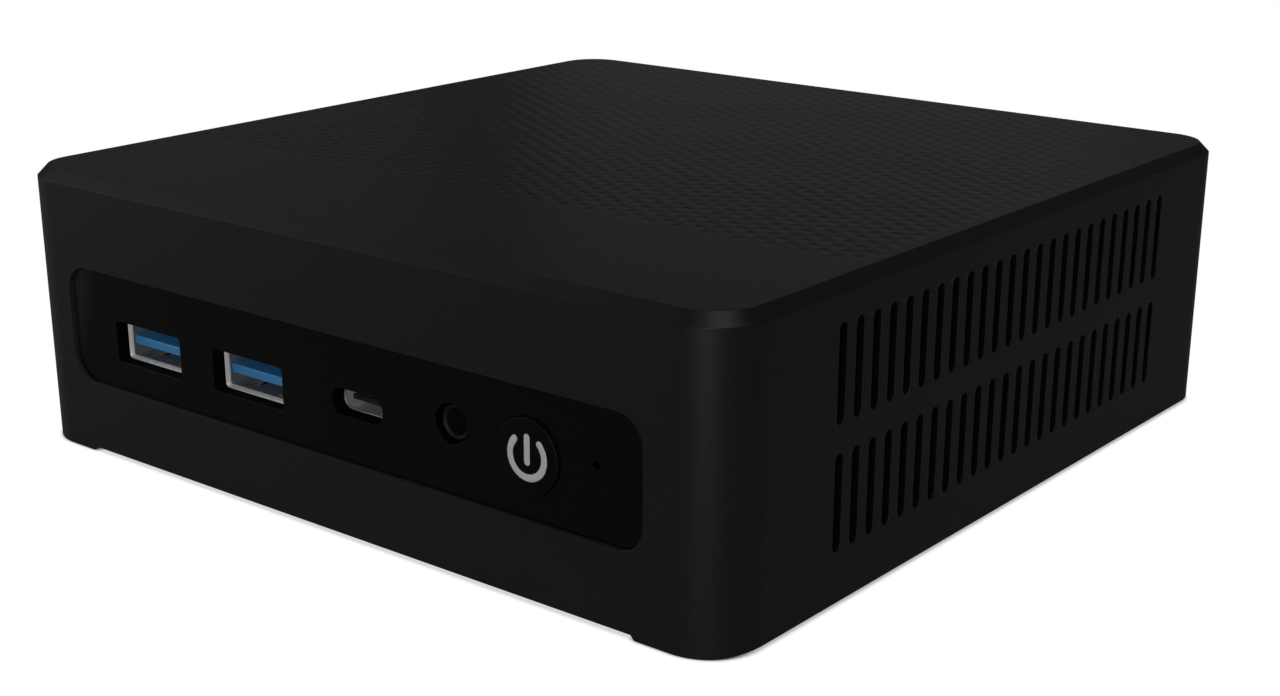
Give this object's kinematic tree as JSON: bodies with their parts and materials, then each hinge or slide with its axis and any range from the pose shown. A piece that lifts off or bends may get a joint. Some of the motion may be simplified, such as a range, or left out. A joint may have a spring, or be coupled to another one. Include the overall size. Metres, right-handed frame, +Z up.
{
  "type": "mini pc",
  "caption": "Small square desktop computer with a dimpled bevelled top, slotted side vents, a recessed glossy port panel and a round power button.",
  "frame": {"origin": "middle of the square footprint, on the plane of the rubber feet", "axes": "+X to the right seen from the front, +Y from front to back, +Z up"},
  "size_m": [0.128, 0.128, 0.041],
  "materials": {
    "charcoal_plastic": "fine matte grain",
    "panel_gloss": "polished",
    "button_plastic": "satin",
    "light_guide": "frosted",
    "cover_plastic": "matte",
    "rubber": "matte",
    "black_steel": "black oxide",
    "bright_steel": "tin-plated",
    "brass": "plain",
    "usb_blue": "moulded",
    "black_insert": "moulded",
    "circuit_board": "solder mask",
    "chip": "moulded resin",
    "processor": "substrate and die",
    "choke_grey": "sintered",
    "capacitor_can": "plain",
    "heatsink_black": "black anodised",
    "fan_plastic": "moulded",
    "copper": "copper wire",
    "magnet": "bonded ferrite",
    "cable_black": "cable jacket",
    "battery": "plain",
    "antenna_foil": "flexible film",
    "led": "lens"
  },
  "bodies": {
    "case": {"housing": "charcoal_plastic", "front_panel": "panel_gloss", "rear_panel": "cover_plastic", "bottom_cover": "cover_plastic", "rubber_feet": "rubber", "cover_screws": "black_steel", "mount_inserts": "brass", "mainboard": "circuit_board", "board_screws": "bright_steel", "processor": "processor", "board_chips": "chip", "power_chokes": "choke_grey", "capacitors": "capacitor_can", "heatsink": "heatsink_black", "heatsink_standoffs": "brass", "heatsink_screws": "bright_steel", "fan_frame": "fan_plastic", "fan_bearing": "brass", "fan_stator": "copper", "fan_screws": "black_steel", "fan_header": "black_insert", "fan_cable": "cable_black", "memory_socket": "black_insert", "memory_module": "circuit_board", "ssd_socket": "black_insert", "ssd_module": "circuit_board", "wifi_socket": "black_insert", "wifi_card": "circuit_board", "card_standoffs": "brass", "card_screws": "bright_steel", "battery_holder": "black_insert", "clock_battery": "battery", "antenna_left": "antenna_foil", "antenna_right": "antenna_foil", "antenna_cable_left": "cable_black", "antenna_cable_right": "cable_black", "front_usb_shells": "bright_steel", "front_usb_inserts": "usb_blue", "usb_c_shell": "bright_steel", "usb_c_insert": "black_insert", "audio_jack": "black_insert", "power_switch_body": "black_insert", "power_led": "led", "reset_switch_body": "black_insert", "dc_jack": "black_insert", "dc_jack_pin": "bright_steel", "hdmi_shells": "bright_steel", "hdmi_inserts": "black_insert", "ethernet_shield": "bright_steel", "ethernet_jack": "black_insert", "rear_usb_shells": "bright_steel", "rear_usb_insert": "usb_blue"},
    "fan_rotor": {"fan_impeller": "fan_plastic", "fan_magnet_ring": "magnet", "fan_shaft": "bright_steel"},
    "power_button": {"power_button": "button_plastic", "power_light_guide": "light_guide"},
    "power_switch": {"power_switch_plunger": "light_guide"},
    "reset_switch": {"reset_switch_plunger": "light_guide"}
  },
  "joints": [
    {"name": "fan_spin", "type": "hinge", "parent": "case", "child": "fan_rotor", "pos_m": [0, -0.003, 0.033], "axis": [0, 0, 1], "continuous": true},
    {"name": "power_button_press", "type": "slide", "parent": "case", "child": "power_button", "axis": [0, 1, 0], "range_m": [0, 0.00045]},
    {"name": "power_switch_press", "type": "slide", "parent": "case", "child": "power_switch", "axis": [0, 1, 0], "range_m": [0, 0.00045]},
    {"name": "reset_switch_press", "type": "slide", "parent": "case", "child": "reset_switch", "axis": [0, 1, 0], "range_m": [0, 0.00025]}
  ],
  "couplings": [
    {"joint": "power_switch_press", "follows": "power_button_press", "ratio": 1}
  ]
}
